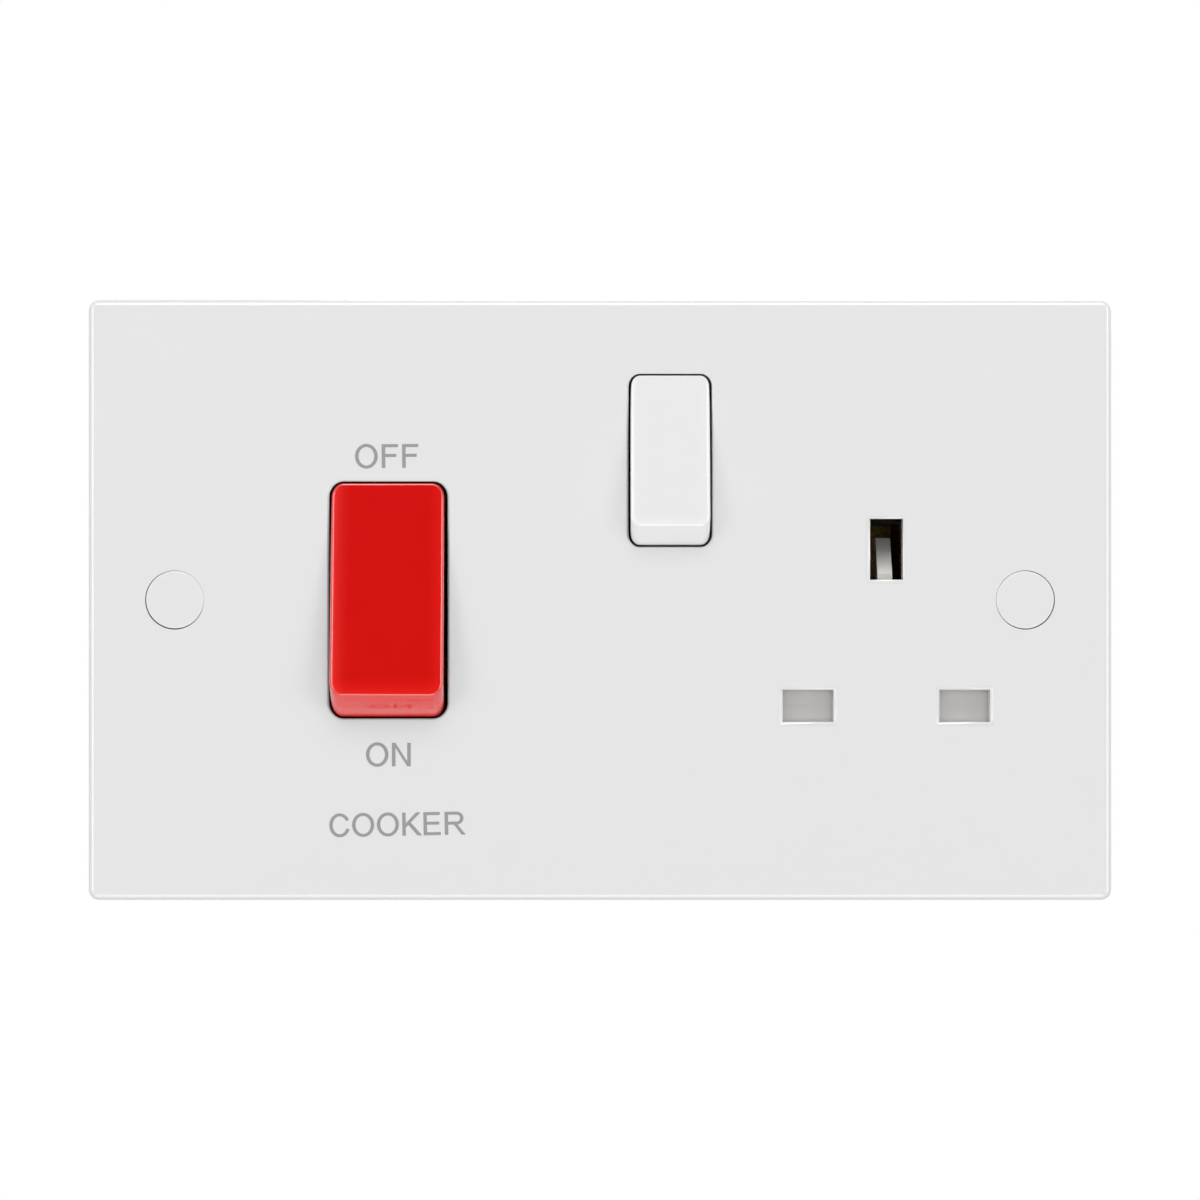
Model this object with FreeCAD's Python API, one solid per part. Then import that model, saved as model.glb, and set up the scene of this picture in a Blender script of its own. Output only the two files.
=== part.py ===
"""Cooker control unit: a two-gang wall plate with a double-pole cooker switch and a switched socket.

Frame: X to the right and Z up as the unit hangs on a wall, Y into the wall. The origin is the middle of
the plate on the wall plane, so the face of the plate is at negative Y. Millimetres and degrees throughout.
Both switches are modelled in their OFF position, with the lower end of the rocker standing proud.
"""

import math
import os

import FreeCAD
import Part

V = FreeCAD.Vector
X_AXIS, Y_AXIS, Z_AXIS = V(1, 0, 0), V(0, 1, 0), V(0, 0, 1)

# Plate: one moulding, a shallow tray with its rim against the wall
plate_width = 146.0
plate_height = 86.0
plate_depth = 9.0
plate_draft = 0.45
plate_corner = 1.4
plate_edge_round = 1.0
face_thickness = 3.0
rim_thickness = 2.4
rib_thickness = 1.2
rib_height = 3.0
rib_spacing = 24.0
rib_gap = 1.3
face_y = -plate_depth
face_back_y = face_y + face_thickness

# Fixing screws and their snap-in caps
fixing_inset = 12.675
fixing_spacing = plate_width - 2 * fixing_inset
cap_recess_radius = 4.2
cap_radius = 4.09
cap_thickness = 1.3
cap_spigot_radius = 3.78
cap_spigot_length = 0.6
cap_edge_bevel = 0.15
recess_depth = 4.2
fixing_boss_wall = 2.0
fixing_hole_radius = 2.1
fixing_thread_radius = 1.75
fixing_neck_radius = 1.5
fixing_head_radius = 3.25
fixing_head_height = 2.0
fixing_screw_length = 25.0
fixing_slot_width = 0.9
fixing_slot_depth = 1.0

# Rockers: part of a drum that turns about its trunnions
rocker_wall = 1.8
rocker_end_gap = 0.25
rocker_face_round = 0.5
rocker_skirt = 2.5
trunnion_radius = 1.5
trunnion_length = 2.1
trunnion_clearance = 0.06
trunnion_snap_width = 2.5
cheek_radius = 3.0
cradle_wall = 2.0
cradle_half_length = 5.5
cradle_reach = 3.0
aperture_chamfer = 0.3

# Switch poles: a sprung plunger in the rocker tips a bridge over its pivot post
plunger_gap = 0.08
stem_wall = 1.0
plunger_clearance = 0.1
bridge_tilt = 8.0
bridge_lift = 0.2
bridge_clearance = 0.06
pivot_post_radius = 1.0
contact_base_radius = 2.1
contact_top_radius = 1.2
contact_height = 0.9
contact_gap = 0.06
seat_gap = 0.12
strap_thickness = 1.2
link_thickness = 1.0
spring_wire = 0.4
spring_steps = 10
plunger_tip_radius = 0.5

# Rear housing: one moulding with a deep half for the cooker switch and a shallower half for the socket
housing_wall = 2.0
housing_corner = 2.0
housing_edge_bevel = 0.8
housing_edge_gap = 0.5
housing_half_height = 32.0
cooker_side_inset = 21.0
cooker_housing_width = 44.5
cooker_left = -plate_width / 2 + cooker_side_inset
cooker_right = cooker_left + cooker_housing_width
cooker_back_y = 21.5
socket_side_inset = 20.5
socket_step_inset = 12.0
socket_right = plate_width / 2 - socket_side_inset
socket_step_right = plate_width / 2 - socket_step_inset
socket_step_z = -8.5
socket_back_y = 19.5
ear_radius = 3.6
ear_thickness = 2.5
ear_boss_radius = 3.2
ear_boss_height = 4.0
ear_reach = 3.6
ear_z = 22.0
step_ear_z = -20.0
barrier_thickness = 1.5
post_side = 5.0
hood_wall = 1.3
hood_margin = 1.2
hood_back_y = -0.4

# Screws that hold the housing to the plate
housing_screw_radius = 1.45
housing_screw_length = 8.0
housing_screw_head_radius = 2.8
housing_screw_head_height = 1.7
screw_clearance = 0.05
screw_slot_width = 0.8
screw_slot_depth = 0.8

# Cable terminals
terminal_width = 11.0
terminal_length = 12.0
terminal_bore_radius = 3.0
terminal_end_wall = 2.5
terminal_bore_inset = 1.0
terminal_screw_radius = 2.5
terminal_screw_length = 5.0
terminal_clearance = 0.2
terminal_rib = 1.5
terminal_spread = 11.0
earth_width = 15.0
earth_length = 11.0
earth_bore_radius = 2.4
earth_bore_spacing = 7.4
earth_screw_radius = 2.0
clamp_hole_margin = 0.7

# Cooker switch: its rocker, measured from the pivot, and its two poles
cooker_inset = 22.0
cooker_z = 0.0
cooker_rocker_width = 16.05
cooker_side_gap = 0.375
cooker_drum_radius = 18.47
cooker_drum_corner = 1.8
cooker_pivot_depth = 8.5
cooker_face_height = 10.7
cooker_tilt = 8.65
cooker_plunger_reach = 8.6
cooker_plunger_radius = 1.7
cooker_stem_end = 4.5
cooker_bridge_arm = 11.0
cooker_bridge_width = 5.5
cooker_bridge_thickness = 1.6
cooker_contact_arm = 9.0
cooker_pole_offset = 4.2

# Socket switch: the same, with one pole
socket_switch_offset = 30.7
socket_switch_inset = 12.2
socket_switch_z = housing_half_height - socket_switch_inset
socket_rocker_width = 11.25
socket_side_gap = 0.275
socket_drum_radius = 13.75
socket_drum_corner = 1.35
socket_pivot_depth = 7.0
socket_face_height = 8.54
socket_tilt = 9.8
socket_plunger_reach = 7.0
socket_plunger_radius = 1.5
socket_stem_end = 3.5
socket_bridge_arm = 8.0
socket_bridge_width = 5.0
socket_bridge_thickness = 1.2
socket_contact_arm = 6.6

# Straps between the terminals and the pin contacts
earth_terminal_offset = 28.65
neutral_link_y = 5.0
neutral_link_drop = 4.0

# Socket outlet, on the standard pin layout
socket_inset = 11.85
socket_x = socket_right - socket_inset
earth_pin_z = 7.2
pin_spacing_x = 22.23
pin_spacing_z = 22.23
pin_aperture_width = 7.2
pin_aperture_height = 4.6
earth_aperture_width = 4.66
earth_aperture_height = 8.65
pin_aperture_chamfer = 0.5
pin_length = 17.7
earth_pin_length = 22.7

# Contact clips that grip the plug's pins
clip_thickness = 0.7
clip_waist = 3.7
clip_root = 5.6
clip_mouth = 5.8
clip_depth = 11.2
clip_straight = 5.0
clip_mouth_depth = 3.0
clip_width = 7.6
tip_clearance = 0.6

# Shutter: one sliding plate that the earth pin pushes down by its ramp
shutter_gap = 0.5
shutter_thickness = 1.8
shutter_travel = 5.8
shutter_overlap = 0.95
shutter_margin = 1.0
shutter_side_gap = 0.25
tongue_width = 6.4
ramp_width = 2.1
ramp_top_z = 8.9
ramp_foot_z = 3.8
ramp_depth = 3.9
ramp_tip = 0.9
tongue_drop = 0.45
rail_width = 1.6
rail_lip = 1.3
rail_lip_thickness = 1.2
shutter_back_gap = 0.3
stop_gap = 0.15
stop_size = 1.5
shutter_spring_radius = 1.6
shutter_spring_wire = 0.5
shutter_spring_turns = 5
shutter_spring_length = 8.6
spring_seat_thickness = 1.5
spring_seat_width = 5.0

parts = {}


def box(x0, x1, y0, y1, z0, z1):
    """A box between two opposite corners, whichever way round they are given."""
    low = V(min(x0, x1), min(y0, y1), min(z0, z1))
    return Part.makeBox(abs(x1 - x0), abs(y1 - y0), abs(z1 - z0), low)


def rod_x(x0, x1, y, z, radius):
    return Part.makeCylinder(radius, abs(x1 - x0), V(min(x0, x1), y, z), X_AXIS)


def rod_y(x, y0, y1, z, radius):
    return Part.makeCylinder(radius, abs(y1 - y0), V(x, min(y0, y1), z), Y_AXIS)


def rod_z(x, y, z0, z1, radius):
    return Part.makeCylinder(radius, abs(z1 - z0), V(x, y, min(z0, z1)), Z_AXIS)


def joined(first, *others):
    """One solid from pieces that overlap, with the seams between flush faces removed."""
    return first.multiFuse(list(others)).removeSplitter()


def rounded_outline(x0, x1, z0, z1, radius, y):
    """A closed rectangle with round corners, in the plane at depth y."""
    middle = radius * (1 - math.sqrt(0.5))
    runs = []
    for (cx, cz), (sx, sz) in zip(
        [(x1, z1), (x0, z1), (x0, z0), (x1, z0)], [(1, 1), (-1, 1), (-1, -1), (1, -1)]
    ):
        on_side = V(cx, y, cz - sz * radius)
        on_top = V(cx - sx * radius, y, cz)
        first, last = (on_side, on_top) if sx == sz else (on_top, on_side)
        runs.append(Part.Arc(first, V(cx - sx * middle, y, cz - sz * middle), last))
    edges = []
    for n, arc in enumerate(runs):
        edges.append(arc.toShape())
        edges.append(Part.LineSegment(arc.EndPoint, runs[(n + 1) % 4].StartPoint).toShape())
    return Part.Wire(Part.__sortEdges__(edges))


def rounded_block(x0, x1, y0, y1, z0, z1, radius):
    return Part.Face(rounded_outline(x0, x1, z0, z1, radius, y0)).extrude(V(0, y1 - y0, 0))


def extruded_profile(points, x0, x1):
    """A solid from a closed outline of (y, z) points, carried along X."""
    outline = Part.makePolygon([V(x0, y, z) for y, z in points + points[:1]])
    return Part.Face(outline).extrude(V(x1 - x0, 0, 0))


def edges_at_depth(shape, y):
    """The edges that lie wholly in the plane at depth y."""
    return [e for e in shape.Edges if abs(e.BoundBox.YMin - y) < 1e-6 and abs(e.BoundBox.YMax - y) < 1e-6]


def strap(points, width, y0, thickness):
    """A flat stamped strip of metal along square-cornered runs of (x, z) points."""
    half = width / 2
    runs = []
    for (xa, za), (xb, zb) in zip(points, points[1:]):
        low_x, high_x = sorted((xa, xb))
        low_z, high_z = sorted((za, zb))
        runs.append(box(low_x - half, high_x + half, y0, y0 + thickness, low_z - half, high_z + half))
    return joined(runs[0], *runs[1:]) if len(runs) > 1 else runs[0]


def coil_spring(start, direction, length, radius, wire, turns):
    """A compression spring of square wire, end to end, as a coil of short straight steps."""
    count = turns * spring_steps
    half = wire / 2
    rings = []
    for step in range(count + 1):
        turned = 2 * math.pi * step / spring_steps
        rise = half + (length - wire) * step / count
        ring = []
        for side, lift in ((-1, -1), (1, -1), (1, 1), (-1, 1)):
            reach = radius + side * half
            ring.append(V(reach * math.cos(turned), reach * math.sin(turned), rise + lift * half))
        rings.append(ring)
    faces = [flat_face(rings[0]), flat_face(rings[-1])]
    for low, high in zip(rings, rings[1:]):
        for a in range(4):
            b = (a + 1) % 4
            faces.append(flat_face([low[a], low[b], high[b]]))
            faces.append(flat_face([low[a], high[b], high[a]]))
    coil = Part.Solid(Part.Shell(faces))
    if coil.Volume < 0:
        coil.reverse()
    coil.Placement = FreeCAD.Placement(start, FreeCAD.Rotation(Z_AXIS, direction))
    return coil


def flat_face(corners):
    return Part.Face(Part.makePolygon(corners + corners[:1]))


def slotted(screw, x, y_top, z, length, width, depth):
    """A screw with a screwdriver slot cut into the end at y_top; a negative depth cuts towards +Y."""
    return screw.cut(box(x - length, x + length, y_top, y_top - depth, z - width / 2, z + width / 2))


class Switch:
    """The sizes of one rocker switch and its poles, and the depths that follow from them."""

    def __init__(self, x, z, width, side_gap, radius, pivot_depth, face_height, tilt, corner,
                 plunger_reach, plunger_radius, stem_end, arm, bridge_width, bridge_thickness,
                 contact_arm, poles):
        self.x, self.z = x, z
        self.width, self.side_gap = width, side_gap
        self.radius, self.corner = radius, corner
        self.face_height, self.tilt = face_height, tilt
        self.plunger_reach, self.plunger_radius = plunger_reach, plunger_radius
        self.stem_end = stem_end
        self.arm, self.contact_arm = arm, contact_arm
        self.bridge_width, self.bridge_thickness = bridge_width, bridge_thickness
        self.poles = poles
        self.pivot_y = face_y + pivot_depth
        self.bridge_front = self.pivot_y + plunger_reach + plunger_gap
        self.bridge_back = self.bridge_front + bridge_thickness
        self.rock_y = self.bridge_back + bridge_lift
        swing = math.radians(bridge_tilt)
        self.pivot_strap_y = self.bridge_back + arm * math.sin(swing) + seat_gap
        closed = (contact_height - bridge_lift) * math.cos(swing)
        closed += (contact_arm + contact_top_radius) * math.sin(swing)
        self.fixed_contact_y = self.rock_y + closed + contact_gap
        self.fixed_strap_y = self.fixed_contact_y + contact_height

    @property
    def half_aperture(self):
        return self.width / 2 + self.side_gap


cooker = Switch(
    x=cooker_left + cooker_inset, z=cooker_z, width=cooker_rocker_width, side_gap=cooker_side_gap,
    radius=cooker_drum_radius, pivot_depth=cooker_pivot_depth, face_height=cooker_face_height,
    tilt=cooker_tilt, corner=cooker_drum_corner, plunger_reach=cooker_plunger_reach,
    plunger_radius=cooker_plunger_radius, stem_end=cooker_stem_end, arm=cooker_bridge_arm,
    bridge_width=cooker_bridge_width, bridge_thickness=cooker_bridge_thickness,
    contact_arm=cooker_contact_arm, poles={"line": cooker_pole_offset, "neutral": -cooker_pole_offset},
)
socket = Switch(
    x=socket_x - socket_switch_offset, z=socket_switch_z, width=socket_rocker_width,
    side_gap=socket_side_gap, radius=socket_drum_radius, pivot_depth=socket_pivot_depth,
    face_height=socket_face_height, tilt=socket_tilt, corner=socket_drum_corner,
    plunger_reach=socket_plunger_reach, plunger_radius=socket_plunger_radius, stem_end=socket_stem_end,
    arm=socket_bridge_arm, bridge_width=socket_bridge_width, bridge_thickness=socket_bridge_thickness,
    contact_arm=socket_contact_arm, poles={"line": 0.0},
)

# Depths and places that several pieces share
earth_x = socket_x - earth_terminal_offset
housing_front_y = face_back_y + housing_edge_gap
line_x = socket_x + pin_spacing_x / 2
neutral_x = socket_x - pin_spacing_x / 2
pin_z = earth_pin_z - pin_spacing_z
terminal_front_y = socket.pivot_strap_y + link_thickness
terminal_back_y = cooker_back_y - housing_wall
earth_back_y = socket_back_y - housing_wall
terminal_bore_y = terminal_front_y + terminal_bore_inset + terminal_bore_radius
earth_bore_y = terminal_front_y + terminal_bore_inset + earth_bore_radius
terminal_x = {"line": cooker.x + terminal_spread, "neutral": cooker.x - terminal_spread}
shutter_bottom = pin_z - pin_aperture_height / 2 - shutter_overlap
spring_seat_z = shutter_bottom - shutter_spring_length
socket_bottom = spring_seat_z - spring_seat_thickness - seat_gap - housing_wall
shutter_y = face_back_y + shutter_gap
shutter_back_y = shutter_y + shutter_thickness
ear_seat_y = face_back_y + ear_boss_height
ears = [(cooker_left - ear_reach, ear_z, -1), (cooker_left - ear_reach, -ear_z, -1),
        (socket_right + ear_reach, ear_z, 1), (socket_step_right + ear_reach, step_ear_z, 1)]
fixing_places = {"left": -fixing_spacing / 2, "right": fixing_spacing / 2}


def drum(switch, extra, corner):
    """A cylinder about the rocker's pivot with rounded rims, grown by extra all round, at the origin."""
    half = switch.width / 2 + (switch.side_gap if extra else 0)
    shape = rod_x(-half, half, 0, 0, switch.radius + extra)
    rims = [e for e in shape.Edges if e.Closed]
    return shape.makeFillet(corner, rims)


def rocker(switch):
    """A hollow rocker with trunnions and one stem for each plunger, turned to its OFF position."""
    half = switch.width / 2
    reach = switch.radius
    inner_face = -(switch.face_height - rocker_wall)
    body = drum(switch, 0, switch.corner).common(
        box(-half, half, -switch.face_height, -rocker_skirt, -reach, reach)
    )
    body = body.makeFillet(rocker_face_round, edges_at_depth(body, -switch.face_height))
    hollow = rod_x(-half + rocker_wall, half - rocker_wall, 0, 0, reach - rocker_wall)
    body = body.cut(hollow.common(box(-half, half, inner_face, 0, -reach, reach)))
    added = []
    for side in (-1, 1):
        inside, outside = side * (half - rocker_wall), side * half
        added.append(box(inside, outside, -rocker_skirt - rocker_wall, 0, -cheek_radius, cheek_radius))
        added.append(rod_x(inside, outside, 0, 0, cheek_radius))
        added.append(rod_x(inside, side * (half + trunnion_length), 0, 0, trunnion_radius))
    bore = switch.plunger_radius + plunger_clearance
    for offset in switch.poles.values():
        added.append(rod_y(offset, inner_face, switch.stem_end, 0, bore + stem_wall))
    body = joined(body, *added)
    for offset in switch.poles.values():
        body = body.cut(rod_y(offset, inner_face, switch.stem_end, 0, bore))
    return placed_in_rocker(body, switch)


def placed_in_rocker(shape, switch):
    """Moves a piece from the rocker's own frame, pivot at the origin, to the OFF position in the plate."""
    shape.rotate(V(0, 0, 0), X_AXIS, -switch.tilt)
    shape.translate(V(switch.x, switch.pivot_y, switch.z))
    return shape


def plunger(switch, offset):
    """A taper-nosed nylon plunger that leaves the rest of its stem to the spring."""
    radius = switch.plunger_radius
    back = plunger_back(switch)
    shank = rod_y(offset, back, switch.plunger_reach - radius, 0, radius)
    nose_start = V(offset, switch.plunger_reach - radius, 0)
    nose = Part.makeCone(radius, plunger_tip_radius, radius, nose_start, Y_AXIS)
    return placed_in_rocker(joined(shank, nose), switch)


def plunger_back(switch):
    return switch.plunger_reach - 2 * switch.stem_end


def plunger_spring(switch, offset):
    """The spring between the blind end of the stem and the back of the plunger."""
    start = -(switch.face_height - rocker_wall)
    length = plunger_back(switch) - start
    radius = switch.plunger_radius - spring_wire / 2
    coil = coil_spring(V(offset, start, 0), Y_AXIS, length, radius, spring_wire, 4)
    return placed_in_rocker(coil, switch)


def contact_rivet(x, y, z, direction):
    """A silver contact button that tapers away from its strip, along +Y or -Y."""
    axis = V(0, direction, 0)
    return Part.makeCone(contact_base_radius, contact_top_radius, contact_height, V(x, y, z), axis)


def bridge(switch, offset):
    """A copper bar that rocks on its pivot post, a contact under its upper arm, in the open position."""
    x, z = switch.x + offset, switch.z
    half = switch.bridge_width / 2
    bar = box(x - half, x + half, switch.bridge_front, switch.bridge_back, z - switch.arm, z + switch.arm)
    bar = bar.cut(rod_x(x - half, x + half, switch.rock_y, z, pivot_post_radius + bridge_clearance))
    bar = joined(bar, contact_rivet(x, switch.bridge_back, z + switch.contact_arm, 1))
    bar.rotate(V(x, switch.rock_y, z), X_AXIS, bridge_tilt)
    return bar


def pivot_post(switch, offset, base_y):
    """The round-topped post that a bridge rocks on, standing on its strap."""
    x, half = switch.x + offset, switch.bridge_width / 2
    web = box(x - half, x + half, switch.rock_y, base_y,
              switch.z - pivot_post_radius, switch.z + pivot_post_radius)
    return joined(web, rod_x(x - half, x + half, switch.rock_y, switch.z, pivot_post_radius))


def front_plate():
    """The face moulding: a drafted tray with its apertures, cradles, bosses and shutter rails."""
    half_x, half_z = plate_width / 2, plate_height / 2
    rear = rounded_outline(-half_x, half_x, -half_z, half_z, plate_corner + plate_draft, 0)
    front_x, front_z = half_x - plate_draft, half_z - plate_draft
    front = rounded_outline(-front_x, front_x, -front_z, front_z, plate_corner, face_y)
    plate = Part.makeLoft([rear, front], True, True)
    plate = plate.makeFillet(plate_edge_round, edges_at_depth(plate, face_y))
    inner_x, inner_z = half_x - rim_thickness, half_z - rim_thickness
    plate = plate.cut(box(-inner_x, inner_x, face_back_y, 0, -inner_z, inner_z))
    for switch in (cooker, socket):
        plate = plate.cut(rocker_well(switch))
    plate = plate.makeChamfer(aperture_chamfer, aperture_edges(plate))
    plate = joined(plate, *[piece for switch in (cooker, socket) for piece in rocker_cradle(switch)],
                   *fixing_bosses(), *ear_bosses(), *shutter_rails(), *rim_ribs())
    for x, z, width, height in pin_apertures():
        plate = plate.cut(pin_aperture(x, z, width, height))
    for x in fixing_places.values():
        plate = plate.cut(fixing_recess(x))
    for x, z, _ in ears:
        hole_end = ear_seat_y + ear_thickness - housing_screw_length - screw_clearance
        plate = plate.cut(rod_y(x, hole_end, ear_seat_y, z, housing_screw_radius + screw_clearance))
    return plate


def rocker_well(switch):
    """The space that a rocker turns in, cut through the face: its end walls follow the rocker's arc."""
    well = drum(switch, rocker_end_gap, switch.corner + rocker_end_gap)
    well.translate(V(switch.x, switch.pivot_y, switch.z))
    return well


def aperture_edges(plate):
    """The front edges of the rocker apertures, inside the plate's outline."""
    margin = plate_edge_round + plate_draft + plate_corner
    limit_x, limit_z = plate_width / 2 - margin, plate_height / 2 - margin
    return [e for e in edges_at_depth(plate, face_y)
            if max(abs(e.BoundBox.XMin), abs(e.BoundBox.XMax)) < limit_x
            and max(abs(e.BoundBox.ZMin), abs(e.BoundBox.ZMax)) < limit_z]


def rocker_cradle(switch):
    """Two walls behind the face with snap-in seats for the rocker's trunnions."""
    walls = []
    for side in (-1, 1):
        inside = switch.x + side * switch.half_aperture
        outside = inside + side * cradle_wall
        top = switch.pivot_y + cradle_reach
        wall = box(inside, outside, face_back_y, top,
                   switch.z - cradle_half_length, switch.z + cradle_half_length)
        seat = rod_x(inside, outside, switch.pivot_y, switch.z, trunnion_radius + trunnion_clearance)
        snap = trunnion_snap_width / 2
        mouth = box(inside, outside, switch.pivot_y, top, switch.z - snap, switch.z + snap)
        walls.append(wall.cut(joined(seat, mouth)))
    return walls


def fixing_bosses():
    radius = cap_recess_radius + fixing_boss_wall
    return [rod_y(x, face_back_y, 0, 0, radius) for x in fixing_places.values()]


def fixing_recess(x):
    """A stepped recess for the cap and the screw's head, and the screw's hole through the boss."""
    ledge = face_y + cap_thickness
    floor = face_y + recess_depth
    cap_step = rod_y(x, face_y, ledge, 0, cap_recess_radius)
    head_step = rod_y(x, ledge, floor, 0, cap_spigot_radius + screw_clearance)
    return joined(cap_step, head_step, rod_y(x, floor, 0, 0, fixing_hole_radius))


def hood_top():
    """The top of the housing's bulge over the upper end of the socket's rocker."""
    return socket.z + socket.radius + rocker_end_gap + hood_margin + hood_wall


def rim_ribs():
    """Stiffening ribs on the back of the face, from the rim in towards the housing and fixing bosses."""
    inner_x, inner_z = plate_width / 2 - rim_thickness, plate_height / 2 - rim_thickness
    half = rib_thickness / 2
    top_y = face_back_y + rib_height
    ribs = []
    for side in (-1, 1):
        ribs.append(box(side * fixing_spacing / 2, side * inner_x, face_back_y, top_y, -half, half))
        for step in range(-2, 3):
            x = step * rib_spacing
            reach = hood_top() + rib_gap if side > 0 else housing_half_height + 2 * rib_gap
            ribs.append(box(x - half, x + half, face_back_y, top_y, side * reach, side * inner_z))
    return ribs


def ear_bosses():
    return [rod_y(x, face_back_y, ear_seat_y, z, ear_boss_radius) for x, z, _ in ears]


def pin_apertures():
    """Place and size of the three plug apertures."""
    return [(line_x, pin_z, pin_aperture_width, pin_aperture_height),
            (neutral_x, pin_z, pin_aperture_width, pin_aperture_height),
            (socket_x, earth_pin_z, earth_aperture_width, earth_aperture_height)]


def pin_aperture(x, z, width, height):
    """A rectangular hole through the face with a bevelled lead-in."""
    half_x, half_z = width / 2, height / 2
    hole = box(x - half_x, x + half_x, face_y, face_back_y, z - half_z, z + half_z)
    bevel = pin_aperture_chamfer
    rings = []
    for grow, y in ((bevel, face_y), (0, face_y + bevel)):
        corners = [(-1, -1), (1, -1), (1, 1), (-1, 1), (-1, -1)]
        ring = [V(x + a * (half_x + grow), y, z + b * (half_z + grow)) for a, b in corners]
        rings.append(Part.makePolygon(ring))
    return joined(hole, Part.makeLoft(rings, True, True))


def shutter_edges():
    """Left, right, bottom and top of the shutter's blade with the socket closed."""
    reach = pin_spacing_x / 2 + pin_aperture_width / 2 + shutter_margin
    top = pin_z - pin_aperture_height / 2 + shutter_travel - stop_gap
    return socket_x - reach, socket_x + reach, shutter_bottom, top


def shutter_rails():
    """Ribs on the back of the face that guide the shutter, stop it and seat its spring."""
    left, right, bottom, top = shutter_edges()
    low = bottom - shutter_travel
    ribs = []
    for edge, side in ((left, -1), (right, 1)):
        inside = edge + side * shutter_side_gap
        outside = inside + side * rail_width
        lip_y = shutter_back_y + shutter_back_gap
        ribs.append(box(inside, outside, face_back_y, lip_y + rail_lip_thickness, low, top))
        ribs.append(box(inside - side * (rail_lip + shutter_side_gap), outside, lip_y,
                        lip_y + rail_lip_thickness, low, top))
        stop = socket_x + side * (tongue_width / 2 + shutter_side_gap)
        ribs.append(box(stop, stop + side * 2 * stop_size, face_back_y, shutter_back_y,
                        top + stop_gap, top + stop_gap + stop_size))
    half = spring_seat_width / 2
    ribs.append(box(socket_x - half, socket_x + half, face_back_y, spring_axis_y() + shutter_spring_radius,
                    spring_seat_z - spring_seat_thickness, spring_seat_z))
    return ribs


def spring_axis_y():
    return shutter_y + shutter_spring_radius + shutter_spring_wire / 2


def shutter():
    """The grey sliding plate: a blade over both pin apertures, and a tongue with the earth pin's ramp."""
    left, right, bottom, top = shutter_edges()
    blade = box(left, right, shutter_y, shutter_back_y, bottom, top)
    earth_bottom = earth_pin_z - earth_aperture_height / 2
    tongue_top = earth_bottom - tongue_drop
    half = tongue_width / 2
    tongue = box(socket_x - half, socket_x + half, shutter_y, shutter_back_y, top, tongue_top)
    ramp_end_y = shutter_y + ramp_depth
    ramp = extruded_profile(
        [(shutter_y, tongue_top), (shutter_y, ramp_foot_z), (ramp_end_y, ramp_top_z),
         (ramp_end_y + ramp_tip, ramp_top_z), (ramp_end_y + ramp_tip, tongue_top - ramp_width),
         (shutter_y, tongue_top - ramp_width)],
        socket_x - ramp_width / 2, socket_x + ramp_width / 2)
    pad_half = spring_seat_width / 2
    pad = box(socket_x - pad_half, socket_x + pad_half, shutter_y, spring_axis_y() + shutter_spring_radius,
              bottom, bottom + spring_seat_thickness)
    return joined(blade, tongue, ramp, pad)


def shutter_spring():
    start = V(socket_x, spring_axis_y(), spring_seat_z)
    return coil_spring(start, Z_AXIS, shutter_spring_length, shutter_spring_radius, shutter_spring_wire,
                       shutter_spring_turns)


def screw_cap(x):
    """A snap-in cap: a flush disc with a short spigot in the recess."""
    ledge = face_y + cap_thickness
    disc = rod_y(x, face_y, ledge, 0, cap_radius)
    disc = disc.makeChamfer(cap_edge_bevel, edges_at_depth(disc, face_y))
    return joined(disc, rod_y(x, ledge, ledge + cap_spigot_length, 0, cap_spigot_radius))


def fixing_screw(x):
    """A machine screw for the wall box: pan head in the recess, thread behind the wall plane."""
    seat = face_y + recess_depth
    head_y = seat - fixing_head_height
    head = rod_y(x, head_y, seat, 0, fixing_head_radius)
    neck = rod_y(x, seat, 0, 0, fixing_neck_radius)
    thread = rod_y(x, 0, seat + fixing_screw_length, 0, fixing_thread_radius)
    screw = joined(head, neck, thread)
    return slotted(screw, x, head_y, 0, fixing_head_radius, fixing_slot_width, -fixing_slot_depth)


def housing_screw(x, z):
    """A pan-head screw through an ear of the housing into its boss on the plate."""
    seat = ear_seat_y + ear_thickness
    top = seat + housing_screw_head_height
    head = rod_y(x, seat, top, z, housing_screw_head_radius)
    screw = joined(head, rod_y(x, seat - housing_screw_length, seat, z, housing_screw_radius))
    return slotted(screw, x, top, z, housing_screw_head_radius, screw_slot_width, screw_slot_depth)


def terminal_block(x, z_outer, inward, width, length, back_y, bores, bore_y, bore_radius, screw_radius):
    """A brass block with blind cable bores in its outer end and clamp-screw holes from the back."""
    z_inner = z_outer + inward * length
    block = box(x - width / 2, x + width / 2, terminal_front_y, back_y, z_outer, z_inner)
    for bore_x in bores:
        bore_end = z_inner - inward * terminal_end_wall
        block = block.cut(rod_z(bore_x, bore_y, z_outer, bore_end, bore_radius))
        block = block.cut(rod_y(bore_x, bore_y, back_y, z_outer + inward * length / 2,
                                screw_radius + screw_clearance))
    return block


def clamp_screw(x, z, bore_y, bore_radius, screw_radius):
    """A headless slotted screw, backed out so that it just clears the cable bore."""
    tip = bore_y + bore_radius + terminal_clearance
    end = tip + terminal_screw_length
    screw = rod_y(x, tip, end, z, screw_radius)
    return slotted(screw, x, end, z, screw_radius, screw_slot_width, screw_slot_depth)


def cooker_terminal_block(pole, side):
    x = terminal_x[pole]
    return terminal_block(x, side * housing_half_height, -side, terminal_width, terminal_length,
                          terminal_back_y, [x], terminal_bore_y, terminal_bore_radius, terminal_screw_radius)


def strap_root_z(side):
    """Where a strap's run starts so that it ends in the solid end of an upper or lower terminal block."""
    return side * (housing_half_height - terminal_length + terminal_end_wall / 2 - cooker.bridge_width / 2)


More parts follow.
